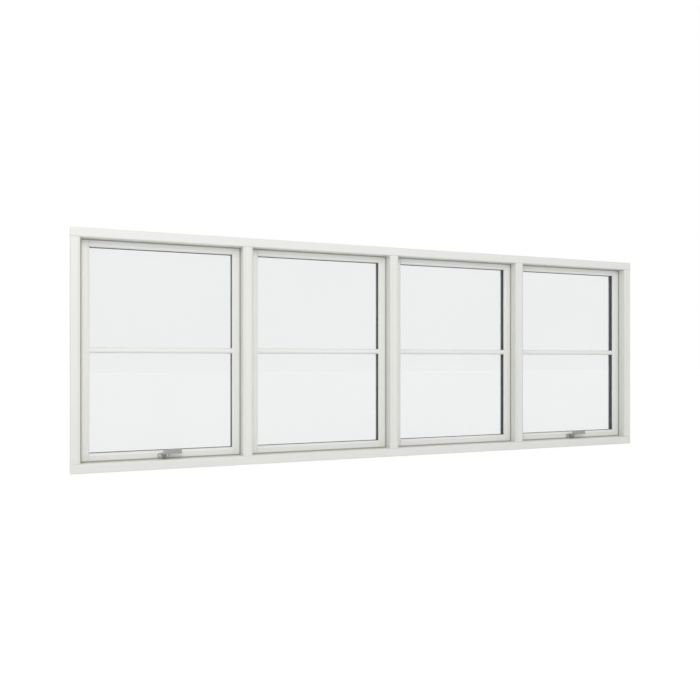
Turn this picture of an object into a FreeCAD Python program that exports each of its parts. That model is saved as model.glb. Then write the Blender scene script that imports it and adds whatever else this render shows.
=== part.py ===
"""Four-light timber window: two fixed lights between two top-guided opening lights.

Millimetres, +Z up, +X along the window, -Y towards the room.  The origin is in the
middle of the underside of the sill, so the front of the frame is half a depth in -Y.
"""
import FreeCAD
import Part
import math
import os
import Sketcher
from FreeCAD import Placement, Rotation, Vector

SIZES = [
    # overall frame
    ("frame_width", 3450.0), ("frame_height", 1190.0), ("frame_depth", 115.0),
    ("frame_face", 46.0), ("mullion_face", 54.0), ("stop_depth", 55.0),
    ("post_arris", 10.0), ("rail_arris", 6.0), ("outer_arris", 2.0), ("sill_fall", 5.0),
    ("post_setback", 0.8), ("joint_gap", 1.2), ("quirk", 1.2), ("quirk_depth", 1.5),
    # gaps between the frame and a sash
    ("lap", 6.5), ("side_gap", 10.0), ("end_gap", 4.0), ("sash_setback", 3.0),
    ("gasket_thick", 2.5), ("gasket_hidden", 4.0), ("gasket_lip", 5.5),
    # sash timber
    ("sash_depth", 57.0), ("stile_width", 49.5), ("top_rail_height", 43.5),
    ("bottom_rail_height", 49.0), ("moulding", 10.0), ("rail_moulding", 14.0), ("rail_setback", 0.6),
    ("lip_depth", 16.0), ("rebate", 18.0),
    # glass unit
    ("tape_thick", 2.0), ("tape_width", 12.0), ("pane_thick", 4.0), ("cavity", 18.0),
    ("glass_edge_gap", 3.0), ("spacer_width", 15.5), ("bead_chamfer", 7.0),
    ("bar_width", 28.0), ("bar_edge", 6.0), ("bar_crest", 10.5), ("outer_crest", 6.5),
    # handle
    ("rosette_length", 60.0), ("rosette_height", 24.0), ("rosette_thick", 8.0),
    ("screw_pitch", 38.0), ("screw_head", 4.0), ("screw_shank", 2.0), ("screw_tip_gap", 0.5),
    ("screw_sink", 2.0), ("spindle_height", 63.5), ("spindle_size", 7.0), ("spindle_hole", 5.3),
    ("hub_radius", 9.5), ("hub_length", 14.0), ("lever_rise", 21.7), ("lever_reach", 86.0),
    ("lever_tail", 5.0), ("lever_height", 22.6), ("lever_thick", 11.0), ("lever_stand", 43.0),
    ("lever_round", 3.0),
    # lock in the bottom rail
    ("lock_depth", 67.0), ("faceplate_thick", 2.5), ("faceplate_width", 14.0),
    ("faceplate_length", 690.0), ("rod_width", 8.0), ("rod_thick", 5.0), ("rod_length", 620.0),
    ("running_gap", 0.3), ("roller_radius", 4.0), ("roller_drop", 4.0), ("roller_spread", 520.0),
    ("pinion_radius", 12.0), ("gear_thick", 5.0), ("rack_length", 44.0),
    ("case_length", 72.0), ("case_thick", 10.0), ("case_wall", 1.5), ("pinion_room", 1.5),
    ("keep_clearance", 1.5), ("keep_cheek", 12.0), ("keep_width", 18.0), ("keep_web", 4.0),
    ("keep_play", 1.5),
    # top-guided stays
    ("arm_pitch", 260.0), ("arm_width", 18.0), ("arm_thick", 3.4), ("plate_thick", 3.0),
    ("plate_width", 26.0), ("plate_length", 80.0), ("stay_depth", 94.0), ("guide_drop", 4.0),
    ("pin_radius", 3.0), ("pin_gap", 0.05), ("pin_head_radius", 6.0), ("pin_head_thick", 1.6),
    ("shoe_width", 14.0), ("shoe_above", 5.0), ("shoe_below", 23.0), ("shoe_thick", 4.6),
    ("track_base", 1.5), ("track_wall", 2.0), ("track_height", 6.0), ("track_above", 6.5),
    ("track_below", 190.0),
    # fixings
    ("frame_hole_radius", 5.0), ("frame_hole_depth", 72.0), ("frame_hole_pitch", 450.0),
    ("packer_depth", 30.0), ("packer_length", 60.0),
    ("packer_inset", 150.0), ("packer_setback", 20.0),
]

doc = FreeCAD.newDocument("Window")
sheet = doc.addObject("Spreadsheet::Sheet", "Sizes")
for row, (alias, value) in enumerate(SIZES, 1):
    sheet.set(f"A{row}", str(value))
    sheet.setAlias(f"A{row}", alias)
doc.recompute()


class Size:
    """A length worked out from the sheet: its expression and its present value."""

    def __init__(self, text, value):
        self.text = text
        self.value = value

    def __add__(self, other):
        other = as_size(other)
        return Size(f"({self.text} + {other.text})", self.value + other.value)

    def __sub__(self, other):
        other = as_size(other)
        return Size(f"({self.text} - {other.text})", self.value - other.value)

    def __neg__(self):
        return Size(f"(0 - {self.text})", -self.value)

    def __mul__(self, number):
        return Size(f"({self.text} * {number})", self.value * number)


def as_size(value):
    """Wrap a plain number, so that it can stand beside sheet sizes."""
    return value if isinstance(value, Size) else Size(f"{value}", float(value))


def cell(alias):
    """The sheet size of this name."""
    return Size(f"Sizes.{alias}", float(sheet.get(alias)))


NONE = as_size(0)
S = {alias: cell(alias) for alias, _ in SIZES}
nodes = []


def node(shape_object, label):
    """Keep an object as one of the window's sub-parts."""
    shape_object.Label = label
    nodes.append(shape_object)
    return shape_object


def place(target, x=NONE, y=NONE, z=NONE):
    """Bind an object's position to the sheet."""
    for axis, size in zip("xyz", (x, y, z)):
        target.setExpression(f"Placement.Base.{axis}", as_size(size).text)
    return target


def circle_centre(start, end, radius):
    """Centre of the arc from start to end; a positive radius runs counter-clockwise."""
    chord = end - start
    rise = math.sqrt(radius ** 2 - (chord.Length / 2) ** 2)
    side = Vector(-chord.y, chord.x, 0).normalize()
    return (start + end) * 0.5 + side * math.copysign(rise, radius)


def draw(sketch, points):
    """Draw a closed outline of (a, b) corners; (a, b, radius) is reached by an arc."""
    spots = [Vector(as_size(p[0]).value, as_size(p[1]).value, 0) for p in points]
    ends = []
    first = sketch.GeometryCount
    for i, spot in enumerate(spots):
        follow = points[(i + 1) % len(points)]
        target = spots[(i + 1) % len(points)]
        if len(follow) == 2:
            sketch.addGeometry(Part.LineSegment(spot, target), False)
            ends.append((1, 2))
            continue
        radius = as_size(follow[2]).value
        centre = circle_centre(spot, target, radius)
        low, high = (spot, target) if radius > 0 else (target, spot)
        angles = [math.atan2(p.y - centre.y, p.x - centre.x) for p in (low, high)]
        circle = Part.Circle(centre, Vector(0, 0, 1), abs(radius))
        sketch.addGeometry(Part.ArcOfCircle(circle, angles[0], angles[1]), False)
        ends.append((1, 2) if radius > 0 else (2, 1))
    for i, point in enumerate(points):
        here, after = first + i, first + (i + 1) % len(points)
        sketch.addConstraint(Sketcher.Constraint(
            "Coincident", here, ends[i][1], after, ends[(i + 1) % len(points)][0]))
        for kind, size in (("DistanceX", as_size(point[0])), ("DistanceY", as_size(point[1]))):
            number = sketch.addConstraint(Sketcher.Constraint(
                kind, -1, 1, here, ends[i][0], size.value))
            sketch.setExpression(f"Constraints[{number}]", size.text)
    for i, point in enumerate(points):
        if len(point) == 3:
            arc = first + (i - 1) % len(points)
            radius = as_size(point[2])
            size = radius if radius.value > 0 else -radius
            number = sketch.addConstraint(Sketcher.Constraint("Radius", arc, size.value))
            sketch.setExpression(f"Constraints[{number}]", size.text)


def profile(name, plane, points, length):
    """A body padded from one closed outline on an origin plane, along that plane's normal."""
    body = doc.addObject("PartDesign::Body", name)
    sketch = body.newObject("Sketcher::SketchObject", name + "_outline")
    plane_object = [f for f in body.Origin.OriginFeatures if f.Role == plane + "_Plane"][0]
    sketch.AttachmentSupport = [(plane_object, "")]
    sketch.MapMode = "FlatFace"
    draw(sketch, points)
    doc.recompute()
    pad = body.newObject("PartDesign::Pad", name + "_pad")
    pad.Profile = sketch
    pad.Reversed = plane == "XZ"
    pad.setExpression("Length", as_size(length).text)
    body.Tip = pad
    return body


def box(name, low, high):
    """A block between two corners."""
    block = doc.addObject("Part::Box", name)
    for side, axis in (("Length", 0), ("Width", 1), ("Height", 2)):
        block.setExpression(side, (as_size(high[axis]) - low[axis]).text)
    return place(block, *low)


TURNS = {"x": Rotation(Vector(0, 1, 0), 90), "y": Rotation(Vector(1, 0, 0), -90), "z": Rotation()}


def rod(name, axis, radius, start, length):
    """A cylinder that starts at a point and runs along +X, +Y or +Z."""
    cylinder = doc.addObject("Part::Cylinder", name)
    cylinder.Placement = Placement(Vector(), TURNS[axis])
    cylinder.setExpression("Radius", as_size(radius).text)
    cylinder.setExpression("Height", as_size(length).text)
    return place(cylinder, *start)


def boolean(kind, name, items):
    """Part::MultiFuse, or Part::Compound for pieces that stay separate."""
    result = doc.addObject(kind, name)
    if kind == "Part::Compound":
        result.Links = items
    else:
        result.Shapes = items
    return result


def fuse(name, *items):
    return boolean("Part::MultiFuse", name, list(items))


def group(name, *items):
    return boolean("Part::Compound", name, list(items))


def cut(name, base, tool):
    """Base with the tool taken out of it."""
    result = doc.addObject("Part::Cut", name)
    result.Base = base
    result.Tool = tool
    return result


def mirror(name, source):
    """The same piece on the other side of the plane X = 0."""
    result = doc.addObject("Part::Mirroring", name)
    result.Source = source
    result.Normal = Vector(1, 0, 0)
    return result


def copy(name, source, x=NONE, y=NONE, z=NONE):
    """The same solid again, moved by a bound distance."""
    return place(group(name, source), x, y, z)


def ring(name, low, high, inner_low, inner_high):
    """A flat frame in the XZ plane, from an outer and an inner block."""
    return cut(name, box(name + "_outer", low, high), box(name + "_hole", inner_low, inner_high))


# --- derived places, all from the sheet --------------------------------------------------
W, H, D = S["frame_width"], S["frame_height"], S["frame_depth"]
front, back = D * -0.5, D * 0.5
face, half_post = S["frame_face"], S["mullion_face"] * 0.5
stop_back = front + S["stop_depth"]
sash_front = stop_back + S["sash_setback"]
sash_back = sash_front + S["sash_depth"]
clear_width = (W - face * 2 - S["mullion_face"] * 3) * 0.25
pitch = clear_width + S["mullion_face"]
half_clear = clear_width * 0.5
half_sash = half_clear + S["lap"]
half_hole = half_sash + S["side_gap"]
sash_low, sash_high = face - S["lap"], H - face + S["lap"]
rail_back = face - S["lap"] - S["end_gap"]
post_back = S["lap"] + S["side_gap"]
light_x = [pitch * (i - 1.5) for i in range(4)]
OPENING = (0, 3)

# --- frame: head and sill run through, posts are scribed between them ---------------------
arris, edge = S["rail_arris"], S["outer_arris"]
rail_outline = [
    (front + edge, 0, edge), (back, 0), (back, rail_back - S["sill_fall"]),
    (stop_back, rail_back), (stop_back, face), (front + arris, face),
    (front, face - arris, arris), (front, edge)]


def open_joint(corner_a, corner_b, radius):
    """Outline of the thin open joint round a rounded front edge that turns from a to b."""
    joint = S["joint_gap"]
    return [(corner_a[0], corner_a[1] + joint), (corner_b[0] - joint, corner_b[1], radius + joint),
            corner_b, (corner_a[0], corner_a[1], -radius)]


def quirk(a, b, sign):
    """Corners of the small groove beside a moulding that starts at (a, b)."""
    far, deep = a - S["quirk"] * sign, b + S["quirk_depth"]
    return [(far, b), (far, deep), (a, deep), (a, b)]


def upside_down(points):
    """The same outline in the upper half of the window, so arcs turn the other way."""
    return [(p[0], H - p[1]) + tuple(-r for r in p[2:]) for p in points]


head_outline = upside_down(rail_outline)
head_outline[2] = (back, H - rail_back)
sill = node(place(profile("sill_bar", "YZ", rail_outline, W), W * -0.5), "sill")
head = node(place(profile("head_bar", "YZ", head_outline, W), W * -0.5), "head")
sill_joint = open_joint((front + arris, face), (front, face - arris), arris)
frame_scribe = group("frame_scribe", head, sill,
                     place(profile("sill_joint", "YZ", sill_joint, W), W * -0.5),
                     place(profile("head_joint", "YZ", upside_down(sill_joint), W), W * -0.5))

round_ = S["post_arris"]
post_front = front + S["post_setback"]
jamb_outline = [
    (W * -0.5 + edge, post_front, edge), *quirk(W * -0.5 + face - round_, post_front, 1),
    (W * -0.5 + face, post_front + round_, round_), (W * -0.5 + face, stop_back),
    (W * -0.5 + face - post_back, stop_back), (W * -0.5 + face - post_back, back),
    (W * -0.5, back), (W * -0.5, post_front + edge)]
frame_holes = group("frame_holes", *[
    rod(f"frame_hole_{i}", "x", S["frame_hole_radius"],
        (W * -0.5 - 1, front + S["frame_hole_depth"], H * 0.5 + S["frame_hole_pitch"] * (i - 1)),
        face + 2) for i in range(3)])
housing = rail_back * 0.5
jamb_bar = place(profile("jamb_bar", "XY", jamb_outline, H - housing * 2), z=housing)
jamb_blank = cut("jamb_drilled", jamb_bar, frame_holes)
node(cut("jamb_left_scribed", jamb_blank, frame_scribe), "left_jamb")
node(cut("jamb_right_scribed", mirror("jamb_right_bar", jamb_blank), frame_scribe), "right_jamb")

rear = half_post - post_back
left_quirk = quirk(round_ - half_post, post_front, -1)[::-1]
mullion_outline = [
    left_quirk[0] + (round_,), *left_quirk[1:], *quirk(half_post - round_, post_front, 1),
    (half_post, post_front + round_, round_), (half_post, stop_back), (rear, stop_back),
    (rear, back), (-rear, back), (-rear, stop_back), (-half_post, stop_back),
    (-half_post, post_front + round_)]
mullion_bar = place(profile("mullion_bar", "XY", mullion_outline, H - housing * 2), z=housing)
for i, label in enumerate(("left_mullion", "centre_mullion", "right_mullion")):
    post = copy(f"mullion_{i}_bar", mullion_bar, pitch * (i - 1))
    node(cut(f"mullion_{i}_scribed", post, frame_scribe), label)

gasket_bar = ring(
    "gasket",
    (-half_clear - S["gasket_hidden"], stop_back, face - S["gasket_hidden"]),
    (half_clear + S["gasket_hidden"], stop_back + S["gasket_thick"], H - face + S["gasket_hidden"]),
    (-half_clear + S["gasket_lip"], stop_back, face + S["gasket_lip"]),
    (half_clear - S["gasket_lip"], stop_back + S["gasket_thick"], H - face - S["gasket_lip"]))
node(group("gaskets", *[copy(f"gasket_{i}", gasket_bar, x) for i, x in enumerate(light_x)]),
     "frame_gaskets")

# --- sash: scribed timber round a double-glazed unit --------------------------------------
lip_back = sash_front + S["lip_depth"]
inner_face = lip_back + S["tape_thick"]
outer_face = inner_face + S["pane_thick"] * 2 + S["cavity"]
bead_front = outer_face + S["tape_thick"]


def edge_outline(width, sign, outer, face_y, ovolo):
    """Sash bar section: a across the bar from its outer edge, b the depth; sign mirrors a."""
    inner = width - S["rebate"]
    flat = [(NONE, face_y), *quirk(width - ovolo, face_y, 1),
            (width, face_y + ovolo, ovolo), (width, lip_back), (inner, lip_back),
            (inner, sash_back), (NONE, sash_back)]
    return [(outer + p[0] * sign, p[1]) + tuple(r * sign for r in p[2:]) for p in flat]


def swap(points):
    """The same outline with its two directions exchanged, so arcs turn the other way."""
    return [(p[1], p[0]) + tuple(-r for r in p[2:]) for p in points]


stile_outline = edge_outline(S["stile_width"], 1, -half_sash, sash_front, S["moulding"])
stile_bar = place(profile("stile_bar", "XY", stile_outline, sash_high - sash_low), z=sash_low)
stiles = group("stiles", stile_bar, mirror("stile_bar_right", stile_bar))
ovolo, inner_x = S["moulding"], S["stile_width"] - half_sash
stile_joint = open_joint((sash_front + ovolo, inner_x), (sash_front, inner_x - ovolo), ovolo)
joint_bar = place(profile("stile_joint", "XY", swap(stile_joint), sash_high - sash_low), z=sash_low)
quirk_bar = box("stile_quirk", (inner_x - ovolo - S["quirk"], sash_front, sash_low),
                (inner_x - ovolo, sash_front + S["quirk_depth"], sash_high))
rail_scribe = group("rail_scribe", stiles, joint_bar, mirror("stile_joint_right", joint_bar),
                    quirk_bar, mirror("stile_quirk_right", quirk_bar))
rail_front, rail_ovolo = sash_front + S["rail_setback"], S["rail_moulding"]
bottom_outline = edge_outline(S["bottom_rail_height"], 1, sash_low, rail_front, rail_ovolo)
top_outline = edge_outline(S["top_rail_height"], -1, sash_high, rail_front, rail_ovolo)
bottom_bar = place(profile("bottom_bar", "YZ", swap(bottom_outline), half_sash * 2), -half_sash)
top_bar = place(profile("top_bar", "YZ", swap(top_outline), half_sash * 2), -half_sash)
top_rail = cut("top_rail_scribed", top_bar, rail_scribe)
bottom_rail = cut("bottom_rail_scribed", bottom_bar, rail_scribe)

# daylight opening of the sash, and the edge of its glass
sight_x = half_sash - S["stile_width"]
sight_low = sash_low + S["bottom_rail_height"]
sight_high = sash_high - S["top_rail_height"]
bite = S["rebate"] - S["glass_edge_gap"]
seal = S["tape_width"]


def glazed_ring(name, depth, thick, width):
    """A ring that follows the glass edge, between two depths."""
    return ring(name, (-sight_x - bite, depth, sight_low - bite),
                (sight_x + bite, depth + thick, sight_high + bite),
                (-sight_x - bite + width, depth, sight_low - bite + width),
                (sight_x + bite - width, depth + thick, sight_high + bite - width))


def pane(name, depth):
    return box(name, (-sight_x - bite, depth, sight_low - bite),
               (sight_x + bite, depth + S["pane_thick"], sight_high + bite))


panes = group("panes", pane("inner_pane", inner_face),
              pane("outer_pane", outer_face - S["pane_thick"]))
spacer = glazed_ring("spacer", inner_face + S["pane_thick"], S["cavity"], S["spacer_width"])
tapes = group("tapes", glazed_ring("inner_tape", lip_back, S["tape_thick"], seal),
              glazed_ring("outer_tape", outer_face, S["tape_thick"], seal))

# outer beads, chamfered towards the glass
slope = S["bead_chamfer"]
bead = [(NONE, bead_front), (S["rebate"], bead_front), (S["rebate"], sash_back - slope),
        (S["rebate"] - slope, sash_back), (NONE, sash_back)]


def bead_outline(sign, outer):
    return [(outer + p[0] * sign, p[1]) for p in bead]


side_bead = place(profile("side_bead", "XY", bead_outline(1, -sight_x - S["rebate"]),
                          sight_high - sight_low + S["rebate"] * 2), z=sight_low - S["rebate"])
side_beads = group("side_beads", side_bead, mirror("side_bead_right", side_bead))
bead_length = (sight_x + S["rebate"]) * 2
level_beads = [
    cut(f"{where}_bead_scribed", place(profile(f"{where}_bead", "YZ", swap(outline_), bead_length),
                                       -sight_x - S["rebate"]), side_beads)
    for where, outline_ in (("lower", bead_outline(1, sight_low - S["rebate"])),
                            ("upper", bead_outline(-1, sight_high + S["rebate"])))]
beads = group("beads", side_beads, *level_beads)

# glazing bars, stuck to the glass inside and outside and scribed to the sash
bar_half = S["bar_width"] * 0.5
bar_middle = (sight_low + sight_high) * 0.5
bar_low, bar_high = bar_middle - bar_half, bar_middle + bar_half


def arc_radius(half_chord, rise):
    """Radius of the arc of this rise over this half chord."""
    return Size(f"((({half_chord.text})^2 + ({rise.text})^2) / (2 * {rise.text}))",
                (half_chord.value ** 2 + rise.value ** 2) / (2 * rise.value))


def bar(name, glass_face, sign, crest, scribe_to):
    """A bar with short sides and a round crest; sign is +1 for the outer side."""
    shoulder = glass_face + S["bar_edge"] * sign
    outline_ = [(glass_face, bar_low), (shoulder, bar_low),
                (shoulder, bar_high, arc_radius(bar_half, crest) * sign), (glass_face, bar_high)]
    half_length = sight_x + S["moulding"]
    return cut(name + "_scribed", place(profile(name, "YZ", outline_, half_length * 2), -half_length),
               scribe_to)


bars = group("bars",
             bar("inner_bar", inner_face, -1, S["bar_crest"], group("inner_scribe", stiles, tapes)),
             bar("outer_bar", outer_face, 1, S["outer_crest"],
                 group("outer_scribe", stiles, tapes, beads)))


def stadium(a, b, half_length, radius, upright=False):
    """A slot outline round (a, b): straight sides and round ends."""
    straight = as_size(half_length) - radius
    ends = [(-straight - radius, NONE, radius), (-straight, -radius, radius), (straight, -radius),
            (straight + radius, NONE, radius), (straight, radius, radius), (-straight, radius)]
    if upright:
        ends = [(-p[1], p[0]) + p[2:] for p in ends]
    return [(a + p[0], b + p[1]) + p[2:] for p in ends]


# --- handle: rosette, cranked lever and square spindle with its pinion ---------------------
axis_z = S["spindle_height"]
gap = S["running_gap"]
rosette_front = rail_front - S["rosette_thick"]
screws_x = (S["screw_pitch"] * -0.5, S["screw_pitch"] * 0.5)
lock_y = front + S["lock_depth"]
half_case, half_case_y = S["case_length"] * 0.5, S["case_thick"] * 0.5
screw_length = lock_y - half_case_y - S["screw_tip_gap"] - rosette_front
rod_travel = S["pinion_radius"] * (math.pi / 2)

rosette_plate = place(profile("rosette_plate", "XZ",
                              stadium(NONE, axis_z, S["rosette_length"] * 0.5,
                                      S["rosette_height"] * 0.5), S["rosette_thick"]),
                      y=rosette_front)


def screw(name, x):
    """A screw along +Y, its head flush with the rosette."""
    start = (x, rosette_front, axis_z)
    return fuse(name, rod(name + "_head", "y", S["screw_head"], start, S["screw_sink"]),
                rod(name + "_shank", "y", S["screw_shank"], start, screw_length))


screws = group("screws", *[screw(f"screw_{i}", x) for i, x in enumerate(screws_x)])
spindle_hole = rod("spindle_hole", "y", S["spindle_hole"], (NONE, rosette_front - 1, axis_z),
                   lock_y - rosette_front)
rosette = cut("rosette_drilled", rosette_plate, group("rosette_holes", screws, spindle_hole))

hub_back = rosette_front - gap
hub = S["hub_radius"]
hub_front = hub_back - S["hub_length"]
lever_front = rail_front - S["lever_stand"]
lever_back = lever_front + S["lever_thick"]
lever_low = axis_z + S["lever_rise"] - S["lever_height"] * 0.5
lever_top = lever_low + S["lever_height"]
soft = S["lever_round"]
crank_side = [
    (hub_back, axis_z + hub), (hub_back, axis_z - hub), (hub_front, axis_z - hub),
    (lever_front, lever_low), (lever_front, lever_top - soft), (lever_front + soft, lever_top, -soft),
    (lever_back - soft, lever_top), (lever_back, lever_top - soft, -soft),
    (lever_back, lever_low + soft), (hub_front + soft, axis_z + hub)]
crank_front = [
    (-hub, axis_z), (NONE, axis_z - hub, hub), (hub, axis_z, hub), (hub, lever_low - soft),
    (hub + soft, lever_low, -soft), (S["lever_reach"] - soft, lever_low),
    (S["lever_reach"], lever_low + soft, soft), (S["lever_reach"], lever_top - soft),
    (S["lever_reach"] - soft, lever_top, soft), (soft * 2 - S["lever_tail"], lever_top),
    (-S["lever_tail"], lever_top - soft * 2, soft * 2)]
crank = doc.addObject("Part::Common", "crank")
crank.Base = place(profile("crank_side", "YZ", crank_side, S["lever_reach"] + hub), -hub)
crank.Tool = place(profile("crank_front", "XZ", crank_front, hub_back - lever_front), y=lever_front)
square = S["spindle_size"] * 0.5
spindle_bar = box("spindle_bar", (-square, hub_front + soft, axis_z - square),
                  (square, lock_y + S["gear_thick"] * 0.5, axis_z + square))
pinion = rod("pinion", "y", S["pinion_radius"], (NONE, lock_y - S["gear_thick"] * 0.5, axis_z),
             S["gear_thick"])
lever = cut("lever_bored", crank, spindle_bar)
spindle = fuse("spindle_pinion", spindle_bar, pinion)

# --- lock: faceplate, case and drive rod in the bottom rail, rollers below it --------------
plate_top = sash_low + S["faceplate_thick"]
rod_low = plate_top + gap
rod_top = rod_low + S["rod_thick"]
groove_top = rod_top + gap
half_plate, half_plate_y = S["faceplate_length"] * 0.5, S["faceplate_width"] * 0.5
rollers_x = (S["roller_spread"] * -0.5, S["roller_spread"] * 0.5)
slot_half = S["roller_radius"] + rod_travel * 0.5 + gap

faceplate = cut("faceplate_slotted",
                box("faceplate_bar", (-half_plate, lock_y - half_plate_y, sash_low),
                    (half_plate, lock_y + half_plate_y, plate_top)),
                group("faceplate_slots", *[
                    place(profile(f"slot_{i}", "XY",
                                  stadium(x + rod_travel * 0.5, lock_y, slot_half,
                                          S["roller_radius"] + gap), S["faceplate_thick"]),
                          z=sash_low) for i, x in enumerate(rollers_x)]))
wall = S["case_wall"]
case_low = groove_top
case_top = axis_z + S["pinion_radius"] + S["pinion_room"] + wall
case = cut("case_hollow",
           box("case_block", (-half_case, lock_y - half_case_y, case_low),
               (half_case, lock_y + half_case_y, case_top)),
           group("case_space",
                 box("case_cavity", (wall - half_case, lock_y - half_case_y + wall, case_low),
                     (half_case - wall, lock_y + half_case_y - wall, case_top - wall)),
                 rod("case_hole", "y", S["spindle_hole"], (NONE, lock_y - half_case_y, axis_z),
                     half_case_y)))
half_rack, half_gear = S["rack_length"] * 0.5, S["gear_thick"] * 0.5
half_rod, half_rod_y = S["rod_length"] * 0.5, S["rod_width"] * 0.5
drive_rod = fuse("drive_rod",
                 box("rod_bar", (-half_rod, lock_y - half_rod_y, rod_low),
                     (half_rod, lock_y + half_rod_y, rod_top)),
                 box("rack", (-half_rack, lock_y - half_gear, rod_top),
                     (half_rack - rod_travel, lock_y + half_gear,
                      axis_z - S["pinion_radius"] - gap)),
                 *[rod(f"roller_{i}", "z", S["roller_radius"],
                       (x, lock_y, sash_low - S["roller_drop"]),
                       rod_low - sash_low + S["roller_drop"]) for i, x in enumerate(rollers_x)])
groove = group("lock_groove",
               box("plate_groove", (-half_plate, lock_y - half_plate_y, sash_low - 1),
                   (half_plate, lock_y + half_plate_y, groove_top)),
               box("case_mortise", (-half_case, lock_y - half_case_y, sash_low),
                   (half_case, lock_y + half_case_y, case_top)),
               screws, spindle_hole)
lock_rail = cut("lock_rail", bottom_rail, groove)

cheek = S["keep_cheek"]
keep_top = sash_low - S["keep_clearance"]
keep_half = slot_half + S["keep_play"]
keep_y = lock_y - S["roller_radius"] - gap
keep_block = cut("keep_block",
                 box("keep_outer", (-keep_half - cheek, keep_y - S["keep_web"], housing),
                     (keep_half + cheek, keep_y - S["keep_web"] + S["keep_width"], keep_top)),
                 box("keep_slot", (-keep_half, keep_y, housing),
                     (keep_half, keep_y + S["keep_width"], keep_top)))
keep_pair = group("keep_pair", *[copy(f"keep_{i}", keep_block, x + rod_travel * 0.5)
                                 for i, x in enumerate(rollers_x)])

# --- stays: an arm and a guide shoe in the gap on each side of an opening sash -------------
wall_x = -half_hole
stay_y = front + S["stay_depth"]
guide_z = sash_high - S["guide_drop"]
crank_z = guide_z - S["arm_pitch"]
foot_z = crank_z - S["arm_pitch"]
plate, pin = S["plate_thick"], S["pin_radius"]
arm_x = wall_x + plate + gap
sash_plate_x = -half_sash - plate
half_plate_z, half_plate_w = S["plate_length"] * 0.5, S["plate_width"] * 0.5


def headed_pin(name, start, length, head_x, z):
    """A pin along +X with a riveted head."""
    return fuse(name, rod(name + "_shank", "x", pin, (start, stay_y, z), length),
                rod(name + "_head", "x", S["pin_head_radius"], (head_x, stay_y, z),
                    S["pin_head_thick"]))


def pair(name, left):
    """The left-hand piece and its mirror image."""
    return group(name, left, mirror(name + "_right", left))


pin_reach = arm_x + S["arm_thick"] + gap + S["pin_head_thick"] - wall_x - plate
foot_plate = fuse("foot_plate",
                  box("foot_base", (wall_x, stay_y - half_plate_w, foot_z - half_plate_z),
                      (wall_x + plate, stay_y + half_plate_w, foot_z + half_plate_z)),
                  headed_pin("foot_pin", wall_x + plate, pin_reach,
                             arm_x + S["arm_thick"] + gap, foot_z))
pin_back = arm_x - gap - S["pin_head_thick"]
crank_plate = fuse("crank_plate",
                   box("crank_base", (sash_plate_x, stay_y - half_plate_w, crank_z - half_plate_z),
                       (-half_sash, stay_y + half_plate_w, crank_z + half_plate_z)),
                   headed_pin("crank_pin", pin_back, sash_plate_x - pin_back, pin_back, crank_z))
guide_pin_start = wall_x + S["track_base"] + gap
guide_plate = fuse("guide_plate",
                   box("guide_base", (sash_plate_x, stay_y - half_plate_w,
                                      sash_high - S["plate_length"]),
                       (-half_sash, stay_y + half_plate_w, sash_high)),
                   rod("guide_pin", "x", pin, (guide_pin_start, stay_y, guide_z),
                       sash_plate_x - guide_pin_start))
bore = pin + S["pin_gap"]
half_arm = S["arm_width"] * 0.5
arm_blank = place(profile("arm_blank", "YZ",
                          stadium(stay_y, (crank_z + foot_z) * 0.5,
                                  S["arm_pitch"] * 0.5 + half_arm, half_arm, upright=True),
                          S["arm_thick"]), arm_x)
arm = cut("arm_bored", arm_blank, group("arm_bores", *[
    rod(f"arm_bore_{i}", "x", bore, (arm_x, stay_y, z), S["arm_thick"])
    for i, z in enumerate((foot_z, crank_z))]))
half_shoe = S["shoe_width"] * 0.5
shoe = cut("shoe_bored",
           box("shoe_block", (guide_pin_start, stay_y - half_shoe, guide_z - S["shoe_below"]),
               (guide_pin_start + S["shoe_thick"], stay_y + half_shoe, guide_z + S["shoe_above"])),
           rod("shoe_bore", "x", bore, (guide_pin_start, stay_y, guide_z), S["shoe_thick"]))
track_low, track_high = guide_z - S["track_below"], guide_z + S["track_above"]
half_track = half_shoe + gap + S["track_wall"]
track = cut("track_channel",
            box("track_block", (wall_x, stay_y - half_track, track_low),
                (wall_x + S["track_height"], stay_y + half_track, track_high)),
            box("track_space", (wall_x + S["track_base"], stay_y - half_shoe - gap, track_low),
                (wall_x + S["track_height"], stay_y + half_shoe + gap, track_high)))

# --- packers that hold the fixed sashes in their openings ---------------------------------
packer_back = sash_front + S["packer_setback"] + S["packer_depth"]
packer_z = (sash_low + S["packer_inset"], sash_high - S["packer_inset"])
side_packers = pair("side_packers", group("left_packers", *[
    box(f"side_packer_{i}",
        (wall_x, sash_front + S["packer_setback"], z - S["packer_length"] * 0.5),
        (-half_sash, packer_back, z + S["packer_length"] * 0.5)) for i, z in enumerate(packer_z)]))
foot_packers = pair("foot_packers", box(
    "foot_packer",
    (S["packer_inset"] - half_sash, sash_front + S["packer_setback"], housing),
    (S["packer_inset"] - half_sash + S["packer_length"], packer_back, sash_low)))


def per_light(label, source, lights):
    """One node that holds this piece at each of the given lights."""
    return group(label, *[copy(f"{label}_{i}", source, light_x[i]) for i in lights])


node(per_light("guide_tracks", pair("tracks", track), OPENING), "guide_tracks")
node(per_light("stay_foot_plates", pair("foot_plates", foot_plate), OPENING), "stay_foot_plates")
node(cut("keeps_on_sill", per_light("keep_blocks", keep_pair, OPENING), sill), "lock_keeps")
node(cut("packers_on_sill", per_light("packer_blocks", group("packer_set", side_packers, foot_packers),
                                      (1, 2)), sill), "sash_packers")

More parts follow.
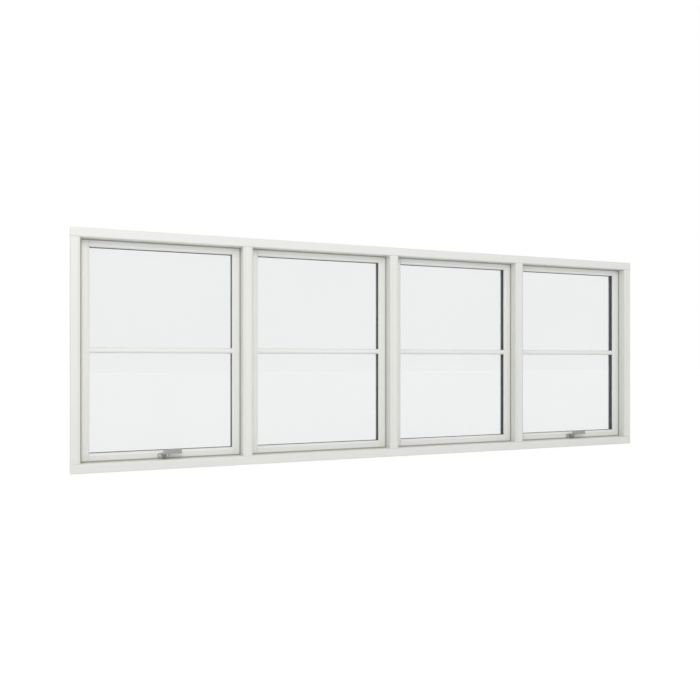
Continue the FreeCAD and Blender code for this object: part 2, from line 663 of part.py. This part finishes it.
fixed_rails = group("fixed_rails", top_rail, bottom_rail)
lock_rails = group("opening_rails", top_rail, lock_rail)
common = [("stiles", stiles), ("glass_panes", panes), ("spacer_frame", spacer),
          ("glazing_tapes", tapes), ("outer_beads", beads), ("glazing_bars", bars)]
moving = [("rails", lock_rails), ("rosette", rosette), ("rosette_screws", screws),
          ("lever", lever), ("spindle", spindle), ("lock_case", case),
          ("lock_faceplate", faceplate), ("drive_rod", drive_rod),
          ("sash_pivot_plates", group("sash_plates", pair("crank_plates", crank_plate),
                                      pair("guide_plates", guide_plate))),
          ("stay_arms", pair("arms", arm)), ("guide_shoes", pair("shoes", shoe))]
for i, x in enumerate(light_x):
    extra = moving if i in OPENING else [("rails", fixed_rails)]
    for label, source in common + extra:
        name = f"light_{i + 1}_{label}"
        node(copy(name + "_placed", source, x), name)

doc.recompute()

for item in doc.Objects:
    if "Invalid" in item.State or "Error" in item.State:
        raise RuntimeError(f"{item.Name} did not build: {item.State}")
for item in nodes:
    if item.Shape.isNull() or not item.Shape.isValid() or not item.Shape.Solids:
        raise RuntimeError(f"{item.Label} has no valid shape")

os.makedirs("parts", exist_ok=True)
for item in nodes:
    item.Shape.exportStep(f"parts/{item.Label}.step")
    print(item.Label, len(item.Shape.Solids), "solids", round(item.Shape.Volume / 1000, 2), "cm3")
print(len(nodes), "nodes")
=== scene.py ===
"""Looks of the four-light window: painted timber, glass, seals and metal fittings, in metres.

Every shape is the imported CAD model's own.  The window's materials are node materials in
object space, so the grain of a bar runs along that bar and nothing in them depends on the
camera.
"""
import math

import bpy
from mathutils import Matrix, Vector


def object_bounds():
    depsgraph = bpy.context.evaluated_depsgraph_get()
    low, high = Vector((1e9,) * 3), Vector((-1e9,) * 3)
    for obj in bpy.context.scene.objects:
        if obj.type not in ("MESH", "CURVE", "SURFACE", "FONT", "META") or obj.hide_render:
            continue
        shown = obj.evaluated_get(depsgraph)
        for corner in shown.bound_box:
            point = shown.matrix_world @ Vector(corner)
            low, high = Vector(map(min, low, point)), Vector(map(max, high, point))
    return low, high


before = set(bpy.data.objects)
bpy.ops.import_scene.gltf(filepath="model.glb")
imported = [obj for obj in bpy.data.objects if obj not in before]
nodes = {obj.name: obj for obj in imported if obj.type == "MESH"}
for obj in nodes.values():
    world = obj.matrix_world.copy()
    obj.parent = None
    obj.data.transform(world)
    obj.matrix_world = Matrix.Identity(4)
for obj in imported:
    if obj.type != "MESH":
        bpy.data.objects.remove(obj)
cad_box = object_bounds()
scene = bpy.context.scene

LOW, HIGH = Vector(cad_box[0]), Vector(cad_box[1])
WHITE = (1.0, 1.0, 1.0, 1.0)

# how noise is stretched: the smaller the factor, the longer its cells along that axis
EVEN = (1.0, 1.0, 1.0)
GRAIN = {"x": (0.05, 1.0, 1.0), "z": (1.0, 1.0, 0.05)}
BRUSHED_X = (0.03, 1.0, 1.0)
BRUSHED_Z = (1.0, 1.0, 0.04)
# the range of a noise factor that colours and roughness run over
NOISE_LOW, NOISE_HIGH = 0.3, 0.7


# --- materials ---------------------------------------------------------------------------
def new_material(name):
    """A material with its node tree, its Principled shader and object coordinates."""
    material = bpy.data.materials.new(name)
    material.use_nodes = True
    tree = material.node_tree
    shader = tree.nodes["Principled BSDF"]
    coords = tree.nodes.new("ShaderNodeTexCoord").outputs["Object"]
    return material, tree, shader, coords


def noise(tree, coords, stretch, scale, detail):
    """Noise whose cells are stretched by the given factors along X, Y and Z."""
    mapping = tree.nodes.new("ShaderNodeMapping")
    mapping.inputs["Scale"].default_value = stretch
    texture = tree.nodes.new("ShaderNodeTexNoise")
    texture.inputs["Scale"].default_value = scale
    texture.inputs["Detail"].default_value = detail
    tree.links.new(coords, mapping.inputs["Vector"])
    tree.links.new(mapping.outputs["Vector"], texture.inputs["Vector"])
    return texture.outputs["Fac"]


def dimmed(colour, share):
    """The colour at a share of its brightness."""
    return tuple(channel * share for channel in colour)


def ramp(tree, factor, low, high):
    """Blend two colours by a noise factor."""
    node = tree.nodes.new("ShaderNodeValToRGB")
    first, last = node.color_ramp.elements
    first.position, first.color = NOISE_LOW, (*low, 1.0)
    last.position, last.color = NOISE_HIGH, (*high, 1.0)
    tree.links.new(factor, node.inputs["Fac"])
    return node.outputs["Color"]


def span(tree, factor, low, high):
    """Blend two numbers by a noise factor."""
    node = tree.nodes.new("ShaderNodeMapRange")
    node.inputs["From Min"].default_value = NOISE_LOW
    node.inputs["From Max"].default_value = NOISE_HIGH
    node.inputs["To Min"].default_value = low
    node.inputs["To Max"].default_value = high
    tree.links.new(factor, node.inputs["Value"])
    return node.outputs["Result"]


def bump(tree, shader, height, distance, strength, under=None):
    """Raise the shader's surface by a height, over another bump if one is given."""
    node = tree.nodes.new("ShaderNodeBump")
    node.inputs["Strength"].default_value = strength
    node.inputs["Distance"].default_value = distance
    tree.links.new(height, node.inputs["Height"])
    if under is not None:
        tree.links.new(under, node.inputs["Normal"])
    tree.links.new(node.outputs["Normal"], shader.inputs["Normal"])
    return node.outputs["Normal"]


def painted_timber(name, colour, along):
    """Factory-sprayed white paint: faint grain along the bar, fine orange peel, soft gloss."""
    material, tree, shader, coords = new_material(name)
    grain = noise(tree, coords, GRAIN[along], scale=420.0, detail=4.0)
    peel = noise(tree, coords, EVEN, scale=900.0, detail=2.0)
    cloud = noise(tree, coords, EVEN, scale=3.0, detail=2.0)
    tree.links.new(ramp(tree, cloud, dimmed(colour, 0.975), colour), shader.inputs["Base Color"])
    tree.links.new(span(tree, peel, 0.34, 0.46), shader.inputs["Roughness"])
    grain_bump = bump(tree, shader, grain, distance=0.00012, strength=0.35)
    bump(tree, shader, peel, distance=0.00005, strength=0.3, under=grain_bump)
    shader.inputs["Specular IOR Level"].default_value = 0.45
    return material


def satin_metal(name, colour, stretch, rough, metallic=0.85):
    """Satin metal with fine brushing along one direction."""
    material, tree, shader, coords = new_material(name)
    brushing = noise(tree, coords, stretch, scale=2500.0, detail=3.0)
    stain = noise(tree, coords, EVEN, scale=60.0, detail=3.0)
    tree.links.new(ramp(tree, stain, dimmed(colour, 0.9), colour), shader.inputs["Base Color"])
    tree.links.new(span(tree, brushing, *rough), shader.inputs["Roughness"])
    shader.inputs["Metallic"].default_value = metallic
    bump(tree, shader, brushing, distance=0.00003, strength=0.4)
    return material


def moulded(name, colour, rough, scale=700.0):
    """Rubber or plastic: even colour with a fine moulded texture."""
    material, tree, shader, coords = new_material(name)
    skin = noise(tree, coords, EVEN, scale, detail=3.0)
    tree.links.new(ramp(tree, skin, dimmed(colour, 0.85), colour), shader.inputs["Base Color"])
    tree.links.new(span(tree, skin, rough - 0.06, rough + 0.06), shader.inputs["Roughness"])
    bump(tree, shader, skin, distance=0.00005, strength=0.4)
    return material


def float_glass():
    """Clear float glass: nearly all seen through, with a faint cool tint and a sharp gloss."""
    material, tree, shader, coords = new_material("float_glass")
    haze = noise(tree, coords, EVEN, scale=2.5, detail=1.0)
    tree.links.new(ramp(tree, haze, (0.16, 0.23, 0.245), (0.20, 0.28, 0.295)),
                   shader.inputs["Base Color"])
    tree.links.new(span(tree, haze, 0.02, 0.04), shader.inputs["Roughness"])
    shader.inputs["Alpha"].default_value = 0.05
    shader.inputs["IOR"].default_value = 1.52
    return material


FRAME_WHITE = (0.700, 0.715, 0.698)
# the sash is the frame's paint made lighter as painted light, to offset the shade that falls in its
# recess behind the frame
SASH_WHITE_LIT = (0.742, 0.756, 0.738)
frame_paint = {along: painted_timber(f"frame_paint_{along}", FRAME_WHITE, along) for along in GRAIN}
sash_lit_paint = {along: painted_timber(f"sash_lit_paint_{along}", SASH_WHITE_LIT, along) for along in GRAIN}
handle_metal = satin_metal("handle_metal", (0.36, 0.36, 0.355), BRUSHED_X,
                           rough=(0.38, 0.5), metallic=0.45)
rosette_metal = satin_metal("rosette_metal", (0.46, 0.465, 0.46), BRUSHED_X,
                            rough=(0.35, 0.45), metallic=0.35)
screw_metal = satin_metal("screw_metal", (0.66, 0.66, 0.66), EVEN, rough=(0.2, 0.3))
zinc_steel = satin_metal("zinc_steel", (0.60, 0.61, 0.62), BRUSHED_Z, rough=(0.28, 0.45))
seal_rubber = moulded("seal_rubber", (0.36, 0.35, 0.30), rough=0.75)
glazing_rubber = moulded("glazing_rubber", (0.40, 0.40, 0.39), rough=0.7)
spacer_black = moulded("spacer_black", (0.030, 0.036, 0.034), rough=0.55, scale=300.0)
shoe_nylon = moulded("shoe_nylon", (0.05, 0.05, 0.05), rough=0.45)
packer_plastic = moulded("packer_plastic", (0.42, 0.42, 0.40), rough=0.5, scale=400.0)
glass = float_glass()

FRAME_MATERIALS = {
    "head": frame_paint["x"], "sill": frame_paint["x"],
    "left_jamb": frame_paint["z"], "right_jamb": frame_paint["z"],
    "left_mullion": frame_paint["z"], "centre_mullion": frame_paint["z"],
    "right_mullion": frame_paint["z"], "frame_gaskets": seal_rubber,
    "guide_tracks": zinc_steel, "stay_foot_plates": zinc_steel, "lock_keeps": zinc_steel,
    "sash_packers": packer_plastic}
# the pieces of one light, by their names without the leading light_1_ to light_4_
LIGHT_MATERIALS = {
    "stiles": sash_lit_paint["z"], "rails": sash_lit_paint["x"], "outer_beads": sash_lit_paint["x"],
    "glazing_bars": sash_lit_paint["x"], "glass_panes": glass, "spacer_frame": spacer_black,
    "glazing_tapes": glazing_rubber, "rosette": rosette_metal, "rosette_screws": screw_metal,
    "lever": handle_metal, "spindle": zinc_steel, "lock_case": zinc_steel,
    "lock_faceplate": zinc_steel, "drive_rod": zinc_steel, "sash_pivot_plates": zinc_steel,
    "stay_arms": zinc_steel, "guide_shoes": shoe_nylon}

for name, node in nodes.items():
    material = FRAME_MATERIALS.get(name) or LIGHT_MATERIALS[name.split("_", 2)[2]]
    for material_slot in node.material_slots:
        material_slot.material = material


# --- floor and sky -----------------------------------------------------------------------
# the camera sees both almost white, as in the photograph, though they light the window less
SKY_LIGHT = 0.85
SKY_SEEN = 1.0
FLOOR_WHITE = (0.97, 0.97, 0.97)
FLOOR_SHARE_SEEN = 0.12       # share of the floor's own colour that the camera sees
FLOOR_SEEN = 0.96             # its brightness to the camera: the rest of it is emission
FLOOR_REACH = 30.0
FLOOR_DROP = 0.001            # clear space under the window


def seen(tree, lighting, view, socket):
    """Give a socket one value for lighting rays and another for what the camera sees."""
    path = tree.nodes.new("ShaderNodeLightPath")
    blend = tree.nodes.new("ShaderNodeMapRange")
    blend.inputs["To Min"].default_value = lighting
    blend.inputs["To Max"].default_value = view
    tree.links.new(path.outputs["Is Camera Ray"], blend.inputs["Value"])
    tree.links.new(blend.outputs["Result"], socket)


def floor_paper():
    """White paper whose look to the camera doesn't depend on the light that falls on it."""
    material, tree, shader, coords = new_material("floor_paper")
    paper = noise(tree, coords, EVEN, scale=1.5, detail=2.0)
    dim = tree.nodes.new("ShaderNodeVectorMath")
    dim.operation = "SCALE"
    seen(tree, 1.0, FLOOR_SHARE_SEEN, dim.inputs["Scale"])
    tree.links.new(ramp(tree, paper, dimmed(FLOOR_WHITE, 0.995), FLOOR_WHITE), dim.inputs[0])
    tree.links.new(dim.outputs["Vector"], shader.inputs["Base Color"])
    shader.inputs["Roughness"].default_value = 0.95
    shader.inputs["Emission Color"].default_value = WHITE
    seen(tree, 0.0, FLOOR_SEEN - FLOOR_SHARE_SEEN * SKY_LIGHT, shader.inputs["Emission Strength"])
    return material


floor_mesh = bpy.data.meshes.new("floor")
floor_mesh.from_pydata(
    [(x * FLOOR_REACH, y * FLOOR_REACH, LOW.z - FLOOR_DROP)
     for x, y in ((-1, -1), (1, -1), (1, 1), (-1, 1))], [], [(0, 1, 2, 3)])
floor_mesh.materials.append(floor_paper())
floor = bpy.data.objects.new("floor", floor_mesh)
scene.collection.objects.link(floor)

world = bpy.data.worlds.new("studio")
world.use_nodes = True
sky = world.node_tree.nodes["Background"].inputs
sky["Color"].default_value = WHITE
seen(world.node_tree, SKY_LIGHT, SKY_SEEN, sky["Strength"])
scene.world = world


# --- key light and camera ------------------------------------------------------------------
KEY_PLACE = Vector((-2.0, -5.2, 3.6))
KEY_SIZE = 3.0
KEY_POWER = 112.0
KEY_COLOUR = (1.0, 0.94, 0.89)
key_data = bpy.data.lights.new("key", "AREA")
key_data.size = KEY_SIZE
key_data.energy = KEY_POWER
key_data.color = KEY_COLOUR
key = bpy.data.objects.new("key", key_data)
key.location = KEY_PLACE
key.rotation_euler = ((LOW + HIGH) * 0.5 - KEY_PLACE).to_track_quat("-Z", "Y").to_euler()
scene.collection.objects.link(key)

# the photograph's viewpoint: level, near mid height, in front of the left edge, turned right
CAMERA_LEFT_OF_EDGE = 0.089
CAMERA_DISTANCE = 3.745
CAMERA_HEIGHT = 0.548
CAMERA_YAW = math.radians(22.4)
camera_data = bpy.data.cameras.new("camera")
camera_data.lens = 37.5
camera_data.sensor_width = 36.0
camera_data.shift_x = -0.0011
camera_data.shift_y = 0.0146
camera = bpy.data.objects.new("camera", camera_data)
camera.location = (LOW.x - CAMERA_LEFT_OF_EDGE, LOW.y - CAMERA_DISTANCE, CAMERA_HEIGHT)
camera.rotation_euler = (math.radians(90.0), 0.0, -CAMERA_YAW)
scene.collection.objects.link(camera)
scene.camera = camera
scene.view_settings.view_transform = "Standard"
